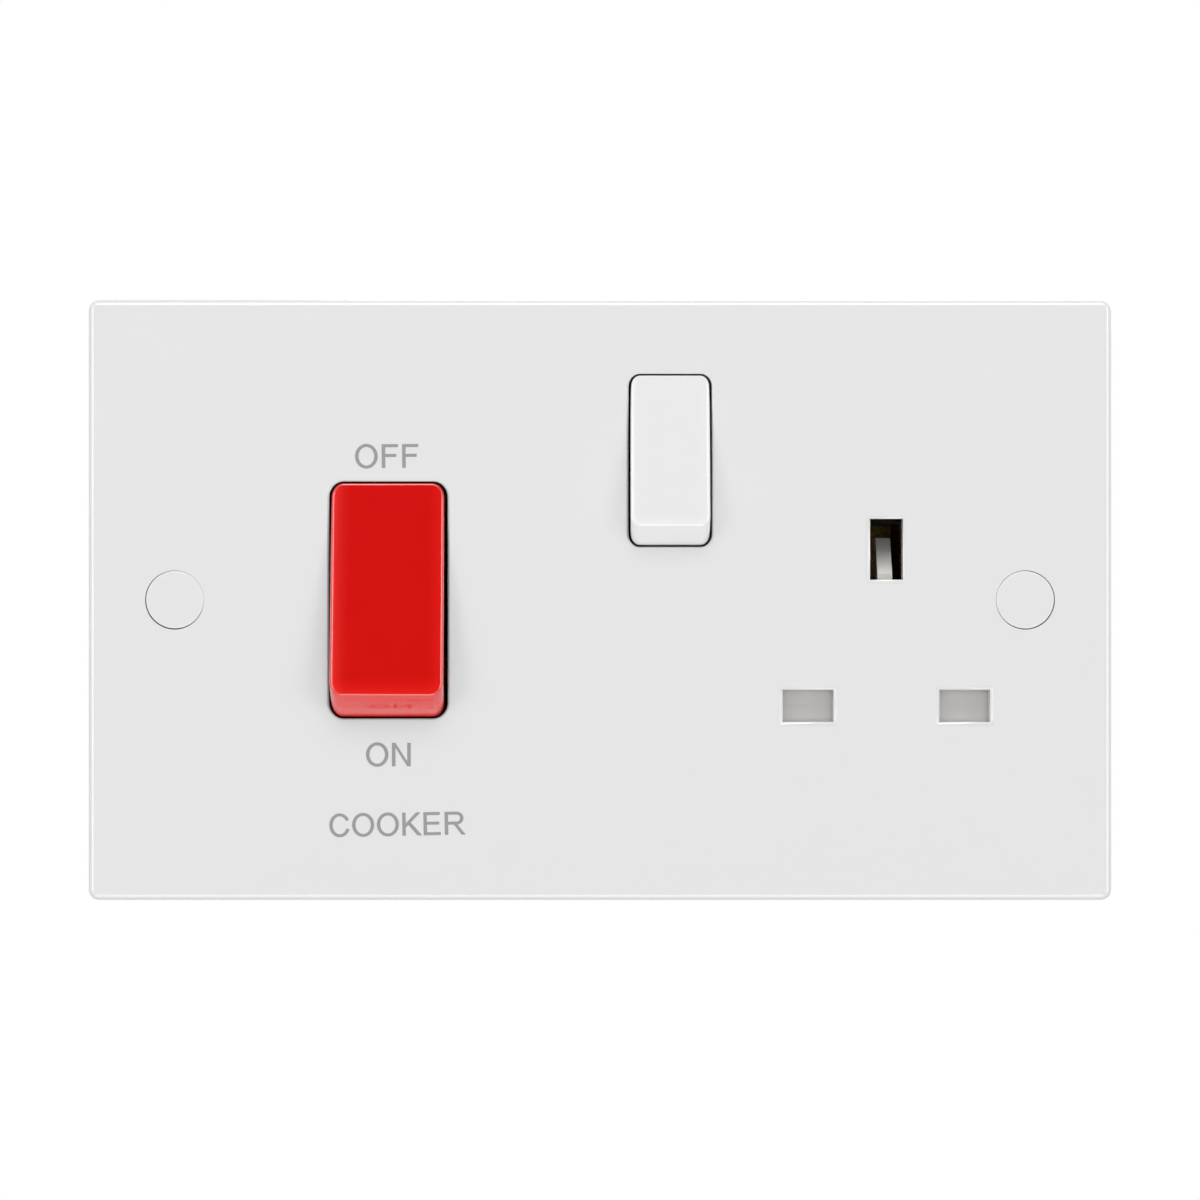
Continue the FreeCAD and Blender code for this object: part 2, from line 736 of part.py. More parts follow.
def supply_terminal(pole):
    """An upper cable terminal and its fixed contact for one pole of the cooker switch."""
    x, contact_x = terminal_x[pole], cooker.x + cooker.poles[pole]
    contact_z = cooker.z + cooker.contact_arm
    arm = strap([(x, strap_root_z(1)), (x, contact_z), (contact_x, contact_z)], cooker.bridge_width,
                cooker.fixed_strap_y, strap_thickness)
    rivet = contact_rivet(contact_x, cooker.fixed_strap_y, contact_z, -1)
    return joined(cooker_terminal_block(pole, 1), arm, rivet)


def load_terminal(pole):
    """A lower cable terminal and the strap that carries the bridge's pivot post."""
    x, post_x = terminal_x[pole], cooker.x + cooker.poles[pole]
    turn_z = cooker.z - cooker.arm
    path = [(x, strap_root_z(-1)), (x, turn_z), (post_x, turn_z), (post_x, cooker.z)]
    arm = strap(path, cooker.bridge_width, cooker.pivot_strap_y, strap_thickness)
    return joined(cooker_terminal_block(pole, -1), arm,
                  pivot_post(cooker, cooker.poles[pole], cooker.pivot_strap_y))


def contact_clip(base_y, depth):
    """A sprung clip for a plug pin, as a profile of (y, offset) points for one leaf and its base."""
    mouth_y = base_y - depth
    waist_y = mouth_y + clip_mouth_depth
    straight_y = base_y - clip_straight
    inner = [(mouth_y, clip_mouth / 2), (waist_y, clip_waist / 2),
             (straight_y, clip_root / 2), (base_y, clip_root / 2)]
    outer = [(y, offset + clip_thickness) for y, offset in inner]
    outer[-1] = (base_y + clip_thickness, outer[-1][1])
    leaf = inner + [(base_y, 0), (base_y + clip_thickness, 0)] + outer[::-1]
    return leaf


def pin_contact(x):
    """Two leaves above and below a line or neutral pin, on one base."""
    leaf = contact_clip(face_y + pin_length + tip_clearance, clip_depth)
    half = clip_width / 2
    upper = extruded_profile([(y, pin_z + offset) for y, offset in leaf], x - half, x + half)
    lower = extruded_profile([(y, pin_z - offset) for y, offset in leaf], x - half, x + half)
    return joined(upper, lower)


def earth_contact():
    """Two leaves beside the earth pin, on a strap that runs down to the earth terminal."""
    base_y = face_y + earth_pin_length + tip_clearance
    leaf = contact_clip(base_y, clip_depth)
    half = clip_width / 2
    leaves = []
    for side in (-1, 1):
        outline = Part.makePolygon([V(socket_x + side * offset, y, earth_pin_z - half)
                                    for y, offset in leaf + leaf[:1]])
        leaves.append(Part.Face(outline).extrude(V(0, 0, clip_width)))
    block_top = socket_bottom + earth_length
    path = [(socket_x - clip_root / 2, earth_pin_z), (earth_x, earth_pin_z), (earth_x, block_top + half)]
    return joined(leaves[0], leaves[1], strap(path, clip_width, base_y, clip_thickness))


def earth_terminal():
    bores = [earth_x - earth_bore_spacing / 2, earth_x + earth_bore_spacing / 2]
    return terminal_block(earth_x, socket_bottom, 1, earth_width, earth_length, earth_back_y, bores,
                          earth_bore_y, earth_bore_radius, earth_screw_radius)


def line_link():
    """The strap from the line supply terminal to the socket switch, with that switch's pivot post."""
    x, top = terminal_x["line"], housing_half_height - terminal_length / 2
    end_z = socket.z - socket.arm + socket.bridge_width / 2
    path = [(x, top), (x, socket.z), (socket.x, socket.z), (socket.x, end_z)]
    return joined(strap(path, socket.bridge_width, socket.pivot_strap_y, link_thickness),
                  pivot_post(socket, 0, socket.pivot_strap_y))


def neutral_link():
    """The strap from the neutral supply terminal to the neutral pin contact, ahead of the line parts."""
    x, top = terminal_x["neutral"], housing_half_height - terminal_length / 2
    width = socket.bridge_width
    contact_edge = pin_z - clip_root / 2 - clip_thickness
    down_x = (cooker.x + cooker.half_aperture + socket.x - socket.half_aperture) / 2
    low = contact_edge - neutral_link_drop
    half = width / 2
    path = [(x, top), (down_x, top), (down_x, low), (neutral_x, low), (neutral_x, contact_edge - half)]
    foot = box(x - half, x + half, neutral_link_y, terminal_front_y, top - half, top + half)
    return joined(strap(path, width, neutral_link_y, link_thickness), foot)


def switched_line_strap():
    """The strap from the socket switch's fixed contact to the line pin contact."""
    contact_z = socket.z + socket.contact_arm
    width = socket.bridge_width
    contact_edge = pin_z + clip_root / 2 + clip_thickness
    down_x = socket_right - housing_wall - 2 * seat_gap - width / 2
    path = [(socket.x, contact_z), (down_x, contact_z), (down_x, contact_edge + width / 2)]
    return joined(strap(path, width, socket.fixed_strap_y, link_thickness),
                  contact_rivet(socket.x, socket.fixed_strap_y, contact_z, -1))


def rear_housing():
    """The back moulding: walls round both halves, terminal windows, barriers, posts and screw ears."""
    wall = housing_wall
    inset = housing_corner - wall / 2
    halves = [(cooker_left, cooker_right, cooker_back_y, -housing_half_height, housing_half_height),
              (cooker_right - 2 * wall, socket_right, socket_back_y, socket_bottom, housing_half_height),
              (socket_right - 3 * wall, socket_step_right, socket_back_y, socket_bottom, socket_step_z)]
    shells = []
    for x0, x1, back, z0, z1 in halves:
        shell = rounded_block(x0, x1, housing_front_y, back, z0, z1, housing_corner)
        shells.append(shell.makeChamfer(housing_edge_bevel, edges_at_depth(shell, back)))
    rooms = [rounded_block(x0 + wall, x1 - wall, housing_front_y, back - wall, z0 + wall, z1 - wall, inset)
             for x0, x1, back, z0, z1 in halves]
    rooms.append(box(cooker_right - 3 * wall, cooker_right, housing_front_y, socket_back_y - wall,
                     socket_bottom + wall, housing_half_height - wall))
    rooms.append(box(socket_right - 2 * wall, socket_right, housing_front_y, socket_back_y - wall,
                     socket_bottom + wall, socket_step_z - wall))
    hood_shell, hood_room = rocker_hood()
    housing = joined(shells[0], *shells[1:], hood_shell, *[ear(*place) for place in ears])
    housing = housing.cut(joined(rooms[0], *rooms[1:], hood_room))
    housing = joined(housing, *terminal_ribs(), *support_posts())
    for pole in terminal_x:
        for side in (-1, 1):
            housing = housing.cut(terminal_window(terminal_x[pole], side * housing_half_height, -side,
                                                  terminal_width, terminal_back_y))
            housing = housing.cut(rod_y(terminal_x[pole], terminal_back_y, cooker_back_y,
                                        side * (housing_half_height - terminal_length / 2),
                                        terminal_screw_radius + clamp_hole_margin))
    housing = housing.cut(terminal_window(earth_x, socket_bottom, 1, earth_width, earth_back_y))
    for side in (-1, 1):
        housing = housing.cut(rod_y(earth_x + side * earth_bore_spacing / 2, earth_back_y, socket_back_y,
                                    socket_bottom + earth_length / 2,
                                    earth_screw_radius + clamp_hole_margin))
    for x, z, _ in ears:
        housing = housing.cut(rod_y(x, ear_seat_y, ear_seat_y + ear_thickness, z,
                                    housing_screw_radius + 3 * screw_clearance))
    return housing


def rocker_hood():
    """The bulge in the top wall that clears the socket rocker's upper end: its shell and its room."""
    half = socket.half_aperture + hood_margin
    low = housing_half_height - housing_wall
    shell = box(socket.x - half - hood_wall, socket.x + half + hood_wall, housing_front_y, hood_back_y,
                low, hood_top())
    room = box(socket.x - half, socket.x + half, housing_front_y, hood_back_y - hood_wall,
               low - housing_wall, hood_top() - hood_wall)
    return shell, room


def ear(x, z, side):
    """A lug on the side of the housing for one screw."""
    lug = rod_y(x, ear_seat_y, ear_seat_y + ear_thickness, z, ear_radius)
    web = box(x, x - side * (ear_reach + housing_wall / 2), ear_seat_y, ear_seat_y + ear_thickness,
              z - ear_radius, z + ear_radius)
    return joined(lug, web)


def terminal_window(x, z_outer, inward, width, back_y):
    half = width / 2 + terminal_clearance
    return box(x - half, x + half, terminal_front_y - terminal_clearance, back_y,
               z_outer, z_outer + inward * housing_wall)


def terminal_ribs():
    """Ribs that hold each terminal block between them, and the barrier between the cooker poles."""
    ribs = []
    for pole in terminal_x:
        for z_side in (-1, 1):
            ribs += side_ribs(terminal_x[pole], terminal_width,
                              z_side * (housing_half_height - terminal_length),
                              z_side * (housing_half_height - housing_wall), terminal_back_y)
    ribs += side_ribs(earth_x, earth_width, socket_bottom + earth_length, socket_bottom + housing_wall,
                      earth_back_y)
    reach = housing_half_height - housing_wall
    half = barrier_thickness / 2
    ribs.append(box(cooker.x - half, cooker.x + half, cooker.bridge_front, terminal_back_y, -reach, reach))
    return ribs


def side_ribs(x, width, z0, z1, back_y):
    ribs = []
    for side in (-1, 1):
        inside = x + side * (width / 2 + terminal_clearance)
        ribs.append(box(inside, inside + side * terminal_rib, terminal_front_y, back_y, z0, z1))
    return ribs


def support_posts():
    """Posts on the back wall that carry the straps and contact clips."""
    clip_back = tip_clearance + clip_thickness
    socket_contact_z = socket.z + socket.contact_arm
    places = [(socket.x, socket.z, socket.pivot_strap_y + link_thickness, earth_back_y),
              (socket.x, socket_contact_z, socket.fixed_strap_y + link_thickness, earth_back_y),
              (socket_x, earth_pin_z, face_y + earth_pin_length + clip_back, earth_back_y)]
    for x in (line_x, neutral_x):
        places.append((x, pin_z, face_y + pin_length + clip_back, earth_back_y))
    contact_z = cooker.z + cooker.contact_arm
    for offset in cooker.poles.values():
        x = cooker.x + offset
        places.append((x, cooker.z, cooker.pivot_strap_y + strap_thickness, terminal_back_y))
        places.append((x, contact_z, cooker.fixed_strap_y + strap_thickness, terminal_back_y))
    half = post_side / 2
    return [box(x - half, x + half, front, back, z - half, z + half) for x, z, front, back in places]


parts["front_plate"] = front_plate()
parts["rear_housing"] = rear_housing()
parts["cooker_rocker"] = rocker(cooker)
parts["socket_rocker"] = rocker(socket)
parts["shutter"] = shutter()
parts["shutter_spring"] = shutter_spring()
for side_name, fixing_x in fixing_places.items():
    parts[f"{side_name}_screw_cap"] = screw_cap(fixing_x)
    parts[f"{side_name}_fixing_screw"] = fixing_screw(fixing_x)
parts["housing_screws"] = Part.makeCompound([housing_screw(x, z) for x, z, _ in ears])
for pole_name, pole_offset in cooker.poles.items():
    parts[f"cooker_{pole_name}_plunger"] = plunger(cooker, pole_offset)
    parts[f"cooker_{pole_name}_spring"] = plunger_spring(cooker, pole_offset)
    parts[f"cooker_{pole_name}_bridge"] = bridge(cooker, pole_offset)
    parts[f"supply_{pole_name}_terminal"] = supply_terminal(pole_name)
    parts[f"load_{pole_name}_terminal"] = load_terminal(pole_name)
    for end_name, end_side in (("supply", 1), ("load", -1)):
        parts[f"{end_name}_{pole_name}_clamp_screw"] = clamp_screw(
            terminal_x[pole_name], end_side * (housing_half_height - terminal_length / 2), terminal_bore_y,
            terminal_bore_radius, terminal_screw_radius)
parts["socket_plunger"] = plunger(socket, 0)
parts["socket_spring"] = plunger_spring(socket, 0)
parts["socket_bridge"] = bridge(socket, 0)
parts["line_link"] = line_link()
parts["neutral_link"] = neutral_link()
parts["switched_line_strap"] = switched_line_strap()
parts["line_contact"] = pin_contact(line_x)
parts["neutral_contact"] = pin_contact(neutral_x)
parts["earth_contact"] = earth_contact()
parts["earth_terminal"] = earth_terminal()
parts["earth_clamp_screws"] = Part.makeCompound([
    clamp_screw(earth_x + side * earth_bore_spacing / 2, socket_bottom + earth_length / 2, earth_bore_y,
                earth_bore_radius, earth_screw_radius) for side in (-1, 1)])

os.makedirs("parts", exist_ok=True)
for name, shape in parts.items():
    shape.exportStep(f"parts/{name}.step")
    print(f"{name}: {len(shape.Solids)} solid, {shape.Volume:.1f} mm3, valid {shape.isValid()}")
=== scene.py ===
import bmesh
import bpy
import numpy as np
from mathutils import Matrix, Vector


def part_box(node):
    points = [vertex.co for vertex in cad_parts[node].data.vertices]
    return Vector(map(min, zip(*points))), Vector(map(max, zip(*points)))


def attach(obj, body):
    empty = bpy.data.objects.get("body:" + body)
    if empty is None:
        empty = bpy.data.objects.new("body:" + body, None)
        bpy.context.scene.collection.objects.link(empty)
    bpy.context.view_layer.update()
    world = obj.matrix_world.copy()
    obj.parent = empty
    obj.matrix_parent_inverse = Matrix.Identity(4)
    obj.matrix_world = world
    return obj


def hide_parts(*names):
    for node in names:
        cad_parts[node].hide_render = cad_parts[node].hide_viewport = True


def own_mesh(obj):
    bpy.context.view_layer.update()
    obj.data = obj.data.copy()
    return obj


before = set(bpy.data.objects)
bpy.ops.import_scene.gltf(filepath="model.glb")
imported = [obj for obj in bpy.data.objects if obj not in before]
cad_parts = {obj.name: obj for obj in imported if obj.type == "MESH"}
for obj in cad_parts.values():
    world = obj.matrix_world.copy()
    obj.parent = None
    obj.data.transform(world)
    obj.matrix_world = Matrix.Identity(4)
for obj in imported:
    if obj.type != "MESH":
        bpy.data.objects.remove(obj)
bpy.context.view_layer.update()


# Rear housing: a thermoset moulding behind the plate that closes in both switches and the pin contacts.
# It is pressed in one piece, has a dull skin from a textured tool, and is held by four screws.
MM = 0.001
NOISE_LOW = 0.3
NOISE_HIGH = 0.7


def group_sockets(tree, inputs, outputs):
    """Gives a node group its named sockets and returns its input and output nodes."""
    for name, kind, value in inputs:
        socket = tree.interface.new_socket(name=name, in_out="INPUT", socket_type=kind)
        if value is not None:
            socket.default_value = value
    for name, kind in outputs:
        tree.interface.new_socket(name=name, in_out="OUTPUT", socket_type=kind)
    return tree.nodes.new("NodeGroupInput"), tree.nodes.new("NodeGroupOutput")


def add_node(tree, kind, links=None, **settings):
    """One shader node: settings name its properties, links its inputs, each a socket or a value."""
    node = tree.nodes.new(kind)
    for name, value in settings.items():
        setattr(node, name, value)
    for name, value in (links or {}).items():
        if isinstance(value, bpy.types.NodeSocket):
            tree.links.new(value, node.inputs[name])
        else:
            node.inputs[name].default_value = value
    return node


def mixed_colour(tree, factor, first, second):
    """The first colour at factor 0 and the second at 1; each is a socket or a red, green and blue."""
    mix = add_node(tree, "ShaderNodeMix", {"Factor": factor}, data_type="RGBA")
    for place, colour in ((6, first), (7, second)):
        if isinstance(colour, bpy.types.NodeSocket):
            tree.links.new(colour, mix.inputs[place])
        else:
            mix.inputs[place].default_value = (*colour, 1)
    return mix.outputs[2]


def moulded_skin_group():
    """A moulded surface: cloudy filler, patches of higher gloss, and the tool's fine skin as height.

    The gloss goes from low to high as the skin's noise goes from NOISE_LOW to NOISE_HIGH.
    """
    tree = bpy.data.node_groups.new("moulded_skin", "ShaderNodeTree")
    given, result = group_sockets(
        tree,
        [("Vector", "NodeSocketVector", None), ("Tint", "NodeSocketColor", (0.8, 0.8, 0.8, 1)),
         ("Cloud Tint", "NodeSocketColor", (0.75, 0.75, 0.75, 1)), ("Cloud Size", "NodeSocketFloat", 90.0),
         ("Gloss Low", "NodeSocketFloat", 0.2), ("Gloss High", "NodeSocketFloat", 0.3),
         ("Skin Size", "NodeSocketFloat", 1500.0), ("Skin Depth", "NodeSocketFloat", 0.0)],
        [("Color", "NodeSocketColor"), ("Roughness", "NodeSocketFloat"), ("Height", "NodeSocketFloat")])
    cloud = add_node(tree, "ShaderNodeTexNoise", {"Vector": given.outputs["Vector"],
                     "Scale": given.outputs["Cloud Size"], "Detail": 4.0, "Roughness": 0.6})
    skin = add_node(tree, "ShaderNodeTexNoise", {"Vector": given.outputs["Vector"],
                    "Scale": given.outputs["Skin Size"], "Detail": 2.0, "Roughness": 0.5})
    gloss = add_node(tree, "ShaderNodeMapRange", {"Value": skin.outputs["Fac"],
                     "From Min": NOISE_LOW, "From Max": NOISE_HIGH,
                     "To Min": given.outputs["Gloss Low"], "To Max": given.outputs["Gloss High"]})
    height = add_node(tree, "ShaderNodeMath", {0: skin.outputs["Fac"], 1: given.outputs["Skin Depth"]},
                      operation="MULTIPLY")
    colour = mixed_colour(tree, cloud.outputs["Fac"], given.outputs["Tint"], given.outputs["Cloud Tint"])
    tree.links.new(colour, result.inputs["Color"])
    tree.links.new(gloss.outputs["Result"], result.inputs["Roughness"])
    tree.links.new(height.outputs["Value"], result.inputs["Height"])
    return tree


moulded_skin = moulded_skin_group()


def moulded_material(name, tint, cloud_tint, gloss, skin_size, skin_depth, specular=0.5):
    """A moulded plastic whose colour, gloss and fine relief come from the moulded_skin group.

    Returns the material, its shader and its group node, for a piece that adds more to them.
    """
    material = bpy.data.materials.new(name)
    material.use_nodes = True
    tree = material.node_tree
    shader = tree.nodes["Principled BSDF"]
    place = add_node(tree, "ShaderNodeTexCoord")
    skin = add_node(tree, "ShaderNodeGroup", node_tree=moulded_skin)
    tree.links.new(place.outputs["Object"], skin.inputs["Vector"])
    skin.inputs["Tint"].default_value = (*tint, 1)
    skin.inputs["Cloud Tint"].default_value = (*cloud_tint, 1)
    skin.inputs["Gloss Low"].default_value, skin.inputs["Gloss High"].default_value = gloss
    skin.inputs["Skin Size"].default_value = skin_size
    skin.inputs["Skin Depth"].default_value = skin_depth
    bump = add_node(tree, "ShaderNodeBump", {"Height": skin.outputs["Height"], "Strength": 1.0,
                    "Distance": 1.0})
    tree.links.new(skin.outputs["Color"], shader.inputs["Base Color"])
    tree.links.new(skin.outputs["Roughness"], shader.inputs["Roughness"])
    tree.links.new(bump.outputs["Normal"], shader.inputs["Normal"])
    shader.inputs["Specular IOR Level"].default_value = specular
    return material, shader, skin


def dress(material, *names):
    """Puts a material on CAD nodes, in place of the plain one they were packed with."""
    for name in names:
        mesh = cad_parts[name].data
        mesh.materials.clear()
        mesh.materials.append(material)


housing_skin = moulded_material("housing_moulding", (0.70, 0.70, 0.68), (0.66, 0.66, 0.635), (0.42, 0.55),
                                2600.0, 0.012 * MM)[0]
dress(housing_skin, "rear_housing")


# Metalwork: terminals and pin contacts of machined and stamped brass, copper rocking bridges,
# zinc-plated screws and drawn spring wire, with the nylon plungers that run on the bridges.
# All but the screws' heads and the terminals' cable ends stay hidden in the housing.
def worked_metal_group():
    """Worked metal: draw lines along one axis from stretched noise, and soft blotches of tarnish."""
    tree = bpy.data.node_groups.new("worked_metal", "ShaderNodeTree")
    given, result = group_sockets(
        tree,
        [("Vector", "NodeSocketVector", None), ("Bright", "NodeSocketColor", (0.8, 0.6, 0.3, 1)),
         ("Tarnish", "NodeSocketColor", (0.6, 0.4, 0.2, 1)), ("Blotch Size", "NodeSocketFloat", 350.0),
         ("Line Size", "NodeSocketVector", (6000.0, 300.0, 6000.0)), ("Gloss Low", "NodeSocketFloat", 0.25),
         ("Gloss High", "NodeSocketFloat", 0.45)],
        [("Color", "NodeSocketColor"), ("Roughness", "NodeSocketFloat"), ("Height", "NodeSocketFloat")])
    blotch = add_node(tree, "ShaderNodeTexNoise", {"Vector": given.outputs["Vector"],
                      "Scale": given.outputs["Blotch Size"], "Detail": 3.0})
    stretched = add_node(tree, "ShaderNodeVectorMath", {0: given.outputs["Vector"],
                         1: given.outputs["Line Size"]}, operation="MULTIPLY")
    lines = add_node(tree, "ShaderNodeTexNoise", {"Vector": stretched.outputs["Vector"], "Scale": 1.0,
                     "Detail": 2.0})
    gloss = add_node(tree, "ShaderNodeMapRange", {"Value": lines.outputs["Fac"],
                     "From Min": NOISE_LOW, "From Max": NOISE_HIGH,
                     "To Min": given.outputs["Gloss Low"], "To Max": given.outputs["Gloss High"]})
    colour = mixed_colour(tree, blotch.outputs["Fac"], given.outputs["Bright"], given.outputs["Tarnish"])
    tree.links.new(colour, result.inputs["Color"])
    tree.links.new(gloss.outputs["Result"], result.inputs["Roughness"])
    tree.links.new(lines.outputs["Fac"], result.inputs["Height"])
    return tree


worked_metal = worked_metal_group()


def metal_material(name, bright, tarnish, gloss, line_size):
    """A bare metal whose colour, gloss and draw lines come from the worked_metal group."""
    material = bpy.data.materials.new(name)
    material.use_nodes = True
    tree = material.node_tree
    shader = tree.nodes["Principled BSDF"]
    place = add_node(tree, "ShaderNodeTexCoord")
    finish = add_node(tree, "ShaderNodeGroup", node_tree=worked_metal)
    tree.links.new(place.outputs["Object"], finish.inputs["Vector"])
    finish.inputs["Bright"].default_value = (*bright, 1)
    finish.inputs["Tarnish"].default_value = (*tarnish, 1)
    finish.inputs["Gloss Low"].default_value, finish.inputs["Gloss High"].default_value = gloss
    finish.inputs["Line Size"].default_value = line_size
    bump = add_node(tree, "ShaderNodeBump", {"Height": finish.outputs["Height"], "Strength": 0.6,
                    "Distance": 0.006 * MM})
    tree.links.new(finish.outputs["Color"], shader.inputs["Base Color"])
    tree.links.new(finish.outputs["Roughness"], shader.inputs["Roughness"])
    tree.links.new(bump.outputs["Normal"], shader.inputs["Normal"])
    shader.inputs["Metallic"].default_value = 1.0
    return material


brass = metal_material("brass", (0.80, 0.60, 0.27), (0.66, 0.45, 0.18), (0.24, 0.40),
                       (5000.0, 400.0, 5000.0))
copper = metal_material("copper", (0.86, 0.47, 0.32), (0.70, 0.34, 0.22), (0.26, 0.42),
                        (5000.0, 5000.0, 400.0))
zinc_plate = metal_material("zinc_plate", (0.72, 0.72, 0.70), (0.62, 0.61, 0.56), (0.28, 0.44),
                            (3500.0, 900.0, 3500.0))
spring_wire = metal_material("spring_wire", (0.56, 0.57, 0.58), (0.42, 0.42, 0.43), (0.24, 0.38),
                             (4000.0, 4000.0, 4000.0))
nylon = moulded_material("nylon", (0.72, 0.70, 0.64), (0.66, 0.64, 0.57), (0.38, 0.48), 1800.0,
                         0.008 * MM)[0]
dress(brass, "supply_line_terminal", "supply_neutral_terminal", "load_line_terminal",
      "load_neutral_terminal", "earth_terminal", "earth_contact", "line_contact", "neutral_contact",
      "line_link", "neutral_link", "switched_line_strap")
dress(copper, "cooker_line_bridge", "cooker_neutral_bridge", "socket_bridge")
dress(zinc_plate, "left_fixing_screw", "right_fixing_screw", "housing_screws", "supply_line_clamp_screw",
      "supply_neutral_clamp_screw", "load_line_clamp_screw", "load_neutral_clamp_screw",
      "earth_clamp_screws")
dress(spring_wire, "cooker_line_spring", "cooker_neutral_spring", "socket_spring")
dress(nylon, "cooker_line_plunger", "cooker_neutral_plunger", "socket_plunger")


# Shutter: a grey nylon slide behind the plug apertures, with the ramp that the earth pin pushes on.
# Its skin is satin, and the lower end of the ramp is painted paler, as painted light where more light reaches
# it.
# A coil of steel wire below it closes it.
shutter_grey, shutter_shader, shutter_skin = moulded_material(
    "shutter_grey", (0.735, 0.724, 0.704), (0.697, 0.686, 0.666), (0.36, 0.46), 1600.0, 0.008 * MM)
shutter_low, shutter_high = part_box("shutter")
ramp_height = 5.1 * MM
ramp_margin = 1.0 * MM
ramp_unpainted_height = 1.5 * MM
# Painted light: the colour that the ramp's lower end is painted towards, as if lit more.
ramp_light_paint = (0.84, 0.81, 0.75)
ramp_top_z = shutter_high.z
ramp_foot_z = ramp_top_z - ramp_height
tree = shutter_grey.node_tree
place = add_node(tree, "ShaderNodeTexCoord")
along = add_node(tree, "ShaderNodeSeparateXYZ", {"Vector": place.outputs["Object"]})
ramp_light_rise = add_node(tree, "ShaderNodeMapRange", {"Value": along.outputs["Z"],
                  "From Min": ramp_top_z - ramp_unpainted_height, "From Max": ramp_foot_z,
                  "To Min": 0.0, "To Max": 1.0}, interpolation_type="SMOOTHSTEP")
on_ramp = add_node(tree, "ShaderNodeMath", {0: along.outputs["Z"], 1: ramp_foot_z - ramp_margin},
                   operation="GREATER_THAN")
ramp_light_share = add_node(tree, "ShaderNodeMath", {0: ramp_light_rise.outputs["Result"], 1: on_ramp.outputs["Value"]},
                      operation="MULTIPLY")
# Painted light: the ramp grows paler down towards its foot.
ramp_painted_colour = mixed_colour(tree, ramp_light_share.outputs["Value"], shutter_skin.outputs["Color"], ramp_light_paint)
tree.links.new(ramp_painted_colour, shutter_shader.inputs["Base Color"])
dress(shutter_grey, "shutter")


def coil_mesh(name, foot, length, radius, wire, turns):
    """A compression spring's round wire: rings of the wire's girth carried along a helix, foot to top.

    At turn t and girth g the point is at radius + wire / 2 * cos(g) from the axis, and at the helix's
    height + wire / 2 * sin(g). The helix climbs steadily, from half a wire above the foot to half a wire
    below the top, and a flat face closes either end.
    """
    around = 10
    steps = turns * 24
    smooth_angle = np.radians(40)
    turn = np.linspace(0, 2 * np.pi * turns, steps + 1)[:, None]
    girth = np.linspace(0, 2 * np.pi, around, endpoint=False)[None, :]
    reach = radius + wire / 2 * np.cos(girth)
    climb = wire / 2 + (length - wire) * turn / turn[-1] + wire / 2 * np.sin(girth)
    points = np.stack([foot[0] + reach * np.cos(turn), foot[1] + reach * np.sin(turn), foot[2] + climb],
                      axis=-1)
    ring = np.arange(around)
    row = np.arange(steps)[:, None] * around
    after = np.roll(ring, -1)
    quads = np.stack([row + ring, row + around + ring, row + around + after, row + after], axis=-1)
    ends = [ring.tolist(), (steps * around + ring[::-1]).tolist()]
    mesh = bpy.data.meshes.new(name)
    mesh.from_pydata(points.reshape(-1, 3).tolist(), [], quads.reshape(-1, 4).tolist() + ends)
    mesh.shade_smooth()
    mesh.set_sharp_from_angle(angle=smooth_angle)
    return mesh


coil_low, coil_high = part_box("shutter_spring")
coil_length = coil_high.z - coil_low.z
coil_inset = 1.85 * MM
coil_radius = 1.6 * MM
coil_wire = 0.5 * MM
coil_turns = 5
coil_foot = ((coil_low.x + coil_high.x) / 2, shutter_low.y + coil_inset, coil_low.z)
coil_shape = coil_mesh("shutter_coil", coil_foot, coil_length, coil_radius, coil_wire, coil_turns)
coil = bpy.data.objects.new("shutter_coil", coil_shape)
coil.data.materials.append(spring_wire)
bpy.context.scene.collection.objects.link(coil)
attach(coil, "unit")
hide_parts("shutter_spring")
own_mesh(coil)


# Front plate and screw caps: glossy white urea mouldings. The plate is one shallow tray, pressed in a
# polished tool, so its face is smooth with the faintest orange peel. The caps push into the screw
# recesses, and sit in them a little off centre.
# Painted shade: the dark colour that narrow gaps are painted with, standing in for the shade in them.
GAP_SHADE_PAINT = (0.012, 0.011, 0.010)


def paint_gap_shade(tree, shader, colour, gap_shade_paint, closed, clear):
    """Painted shade: walls that face another wall less than about a millimetre away go over to a dark painted
    tint, where the gap's shade falls.

    The share of open sky goes from closed, where the tint is full, to clear, where there is none.
    """
    gap_reach = 1.2 * MM
    sky = add_node(tree, "ShaderNodeAmbientOcclusion", {"Distance": gap_reach}, samples=8)
    open_air = add_node(tree, "ShaderNodeMapRange", {"Value": sky.outputs["AO"],
                        "From Min": closed, "From Max": clear, "To Min": 0.0, "To Max": 1.0},
                        interpolation_type="SMOOTHSTEP")
    shaded = mixed_colour(tree, open_air.outputs["Result"], gap_shade_paint, colour)
    tree.links.new(shaded, shader.inputs["Base Color"])


